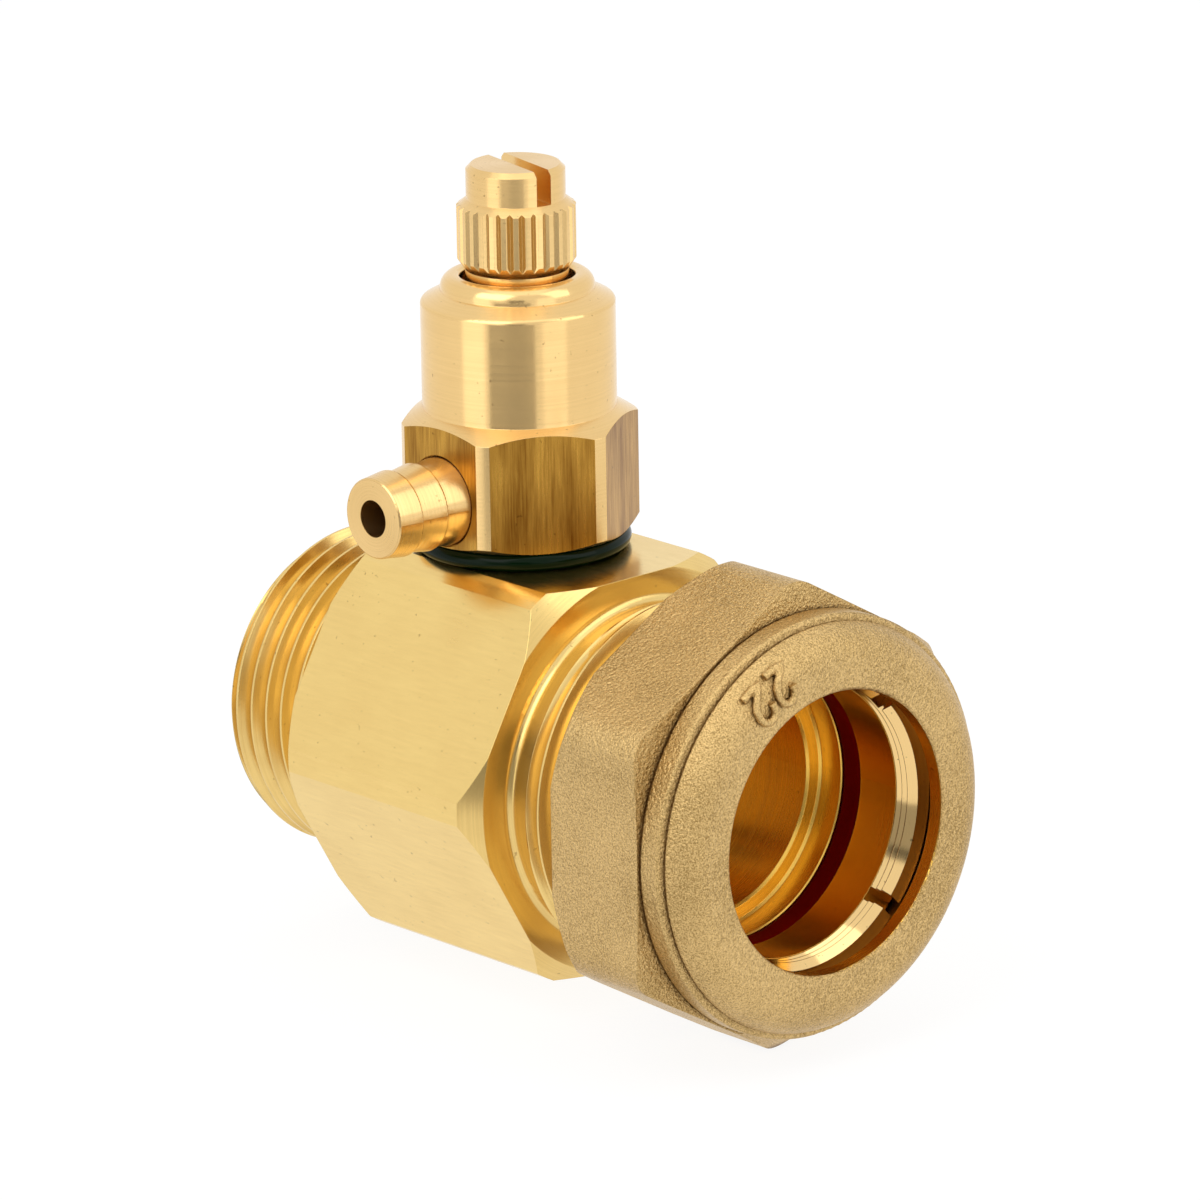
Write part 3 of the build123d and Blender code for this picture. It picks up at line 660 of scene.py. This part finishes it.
def add_world():
    """White surroundings, with a plain level of light from them."""
    world = bpy.data.worlds.new("studio")
    world.use_nodes = True
    tree = world.node_tree
    tree.nodes.clear()
    strength = mapped(tree, seen_white(tree), 0.0, 1.0, 0.5, 1.0)
    sky = add(tree, "ShaderNodeBackground", {"Color": (1, 1, 1, 1), "Strength": strength})
    add(tree, "ShaderNodeOutputWorld", {"Surface": sky.outputs[0]})
    bpy.context.scene.world = world


def aim(thing, centre, azimuth, elevation, distance):
    """Puts a lamp or card round the object, facing it."""
    toward = direction(azimuth, elevation)
    thing.location = centre + toward * distance
    thing.rotation_mode = "QUATERNION"
    thing.rotation_quaternion = toward.to_track_quat("Z", "Y")


def add_lamp(name, centre, azimuth, elevation, distance, width, height, power):
    """Softbox."""
    lamp = bpy.data.lights.new(name, "AREA")
    lamp.shape = "RECTANGLE"
    lamp.size = width
    lamp.size_y = height
    lamp.energy = power
    made = new_object(name, lamp)
    made.visible_camera = False
    aim(made, centre, azimuth, elevation, distance)


def add_card(name, place, azimuth, width, height, glow):
    """Upright studio card that only mirrors in the metal."""
    plane = bmesh.new()
    bmesh.ops.create_grid(plane, x_segments=1, y_segments=1, size=0.5)
    mesh = bpy.data.meshes.new(name)
    plane.to_mesh(mesh)
    plane.free()
    card = new_object(name, mesh)
    card.scale = (width, height, 1)
    aim(card, place, azimuth, 0, 0)
    card.visible_camera = False
    card.visible_diffuse = False
    card.visible_shadow = False
    made = bpy.data.materials.new(name)
    made.use_nodes = True
    tree = made.node_tree
    tree.nodes.clear()
    shine = add(tree, "ShaderNodeEmission", {"Color": (1, 1, 1, 1), "Strength": glow})
    add(tree, "ShaderNodeOutputMaterial", {"Surface": shine.outputs[0]})
    card.data.materials.append(made)


def add_studio():
    """Floor, surroundings, softboxes and cards."""
    low, high = cad_box
    centre = (low + high) / 2
    ground = low.z - 0.02 * MM
    add_floor(ground)
    add_world()
    add_lamp("key", centre, 5, 40, 0.6, 0.5, 0.5, 1.2)
    add_lamp("fill", centre, 120, 35, 0.6, 0.35, 0.6, 0.6)
    add_lamp("top", centre, 48, 85, 0.6, 0.5, 0.5, 0.35)
    front = Vector((VENT_AXIS[1][0] * MM, 0, ground + FRONT_HEIGHT / 2))
    add_card("front_card", front + direction(40.5, 0) * 0.11, 40.5, 0.11, FRONT_HEIGHT, 0.4)
    camera_side = Vector((VENT_AXIS[1][0] * MM, 0, 65 * MM))
    add_card("camera_card", camera_side + direction(46, 0) * 0.30, 46, 0.12, 0.08, 0.04)
    side = Vector((VENT_AXIS[1][0] * MM, 0, ground + CARD_HEIGHT / 2))
    add_card("left_card", side + direction(-5, 0) * 0.13, -5, 0.065, CARD_HEIGHT, 1.5)
    add_card("right_card", side + direction(90.5, 0) * 0.13, 90.5, 0.067, CARD_HEIGHT, 1.4)
    tail_end = Vector((low.x - 2 * MM, 0, 0))
    add_card("tail_card", tail_end, -90, 24 * MM, 24 * MM, 0.7)


dress_fitting()
dress_nut()
dress_screw()
add_camera()
add_studio()
bpy.context.scene.view_settings.view_transform = "Standard"
